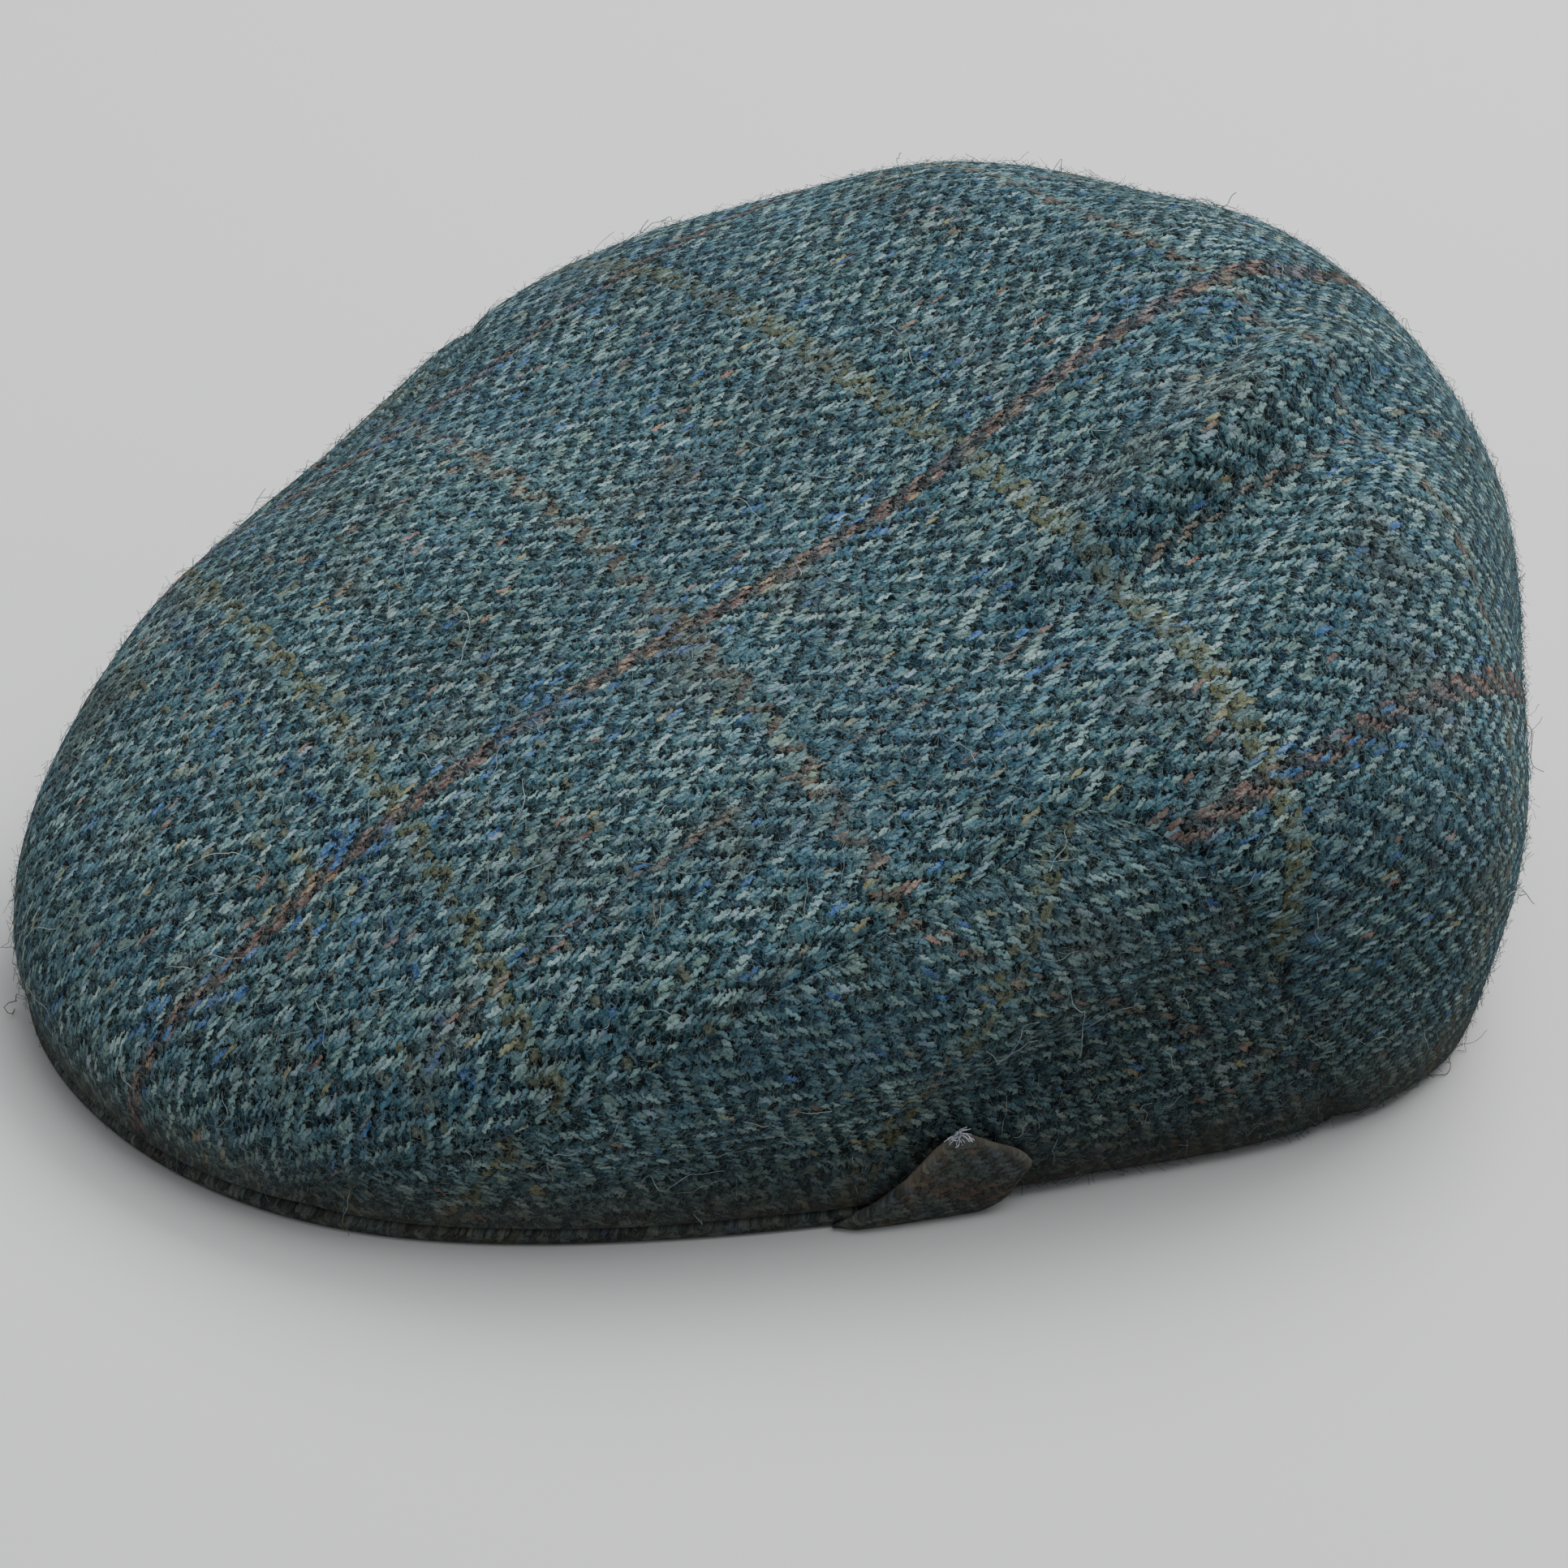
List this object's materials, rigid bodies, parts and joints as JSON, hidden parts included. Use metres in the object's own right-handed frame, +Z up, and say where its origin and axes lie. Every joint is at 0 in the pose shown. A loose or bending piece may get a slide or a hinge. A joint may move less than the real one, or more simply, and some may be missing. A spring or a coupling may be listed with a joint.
{
  "type": "flat cap",
  "caption": "Woollen tweed flat cap with a rounded crown sewn from a long top panel and low side panels over a short stiff peak.",
  "frame": {"origin": "middle of the cap's box, on the surface that it rests on", "axes": "+Z up, -Y the way the peak faces, +X the wearer's left"},
  "size_m": [0.2074, 0.2678, 0.104],
  "materials": {
    "tweed": "matt, hairy woollen tweed in a blue-green herringbone with an overcheck of rust, blue and mustard threads",
    "peak_tweed": "the same matt tweed pulled round the board of the peak, browner and worn along its edge"
  },
  "bodies": {
    "root": {"top_panel": "tweed", "side_panel_left": "tweed", "side_panel_right": "tweed", "peak": "peak_tweed"}
  },
  "joints": []
}
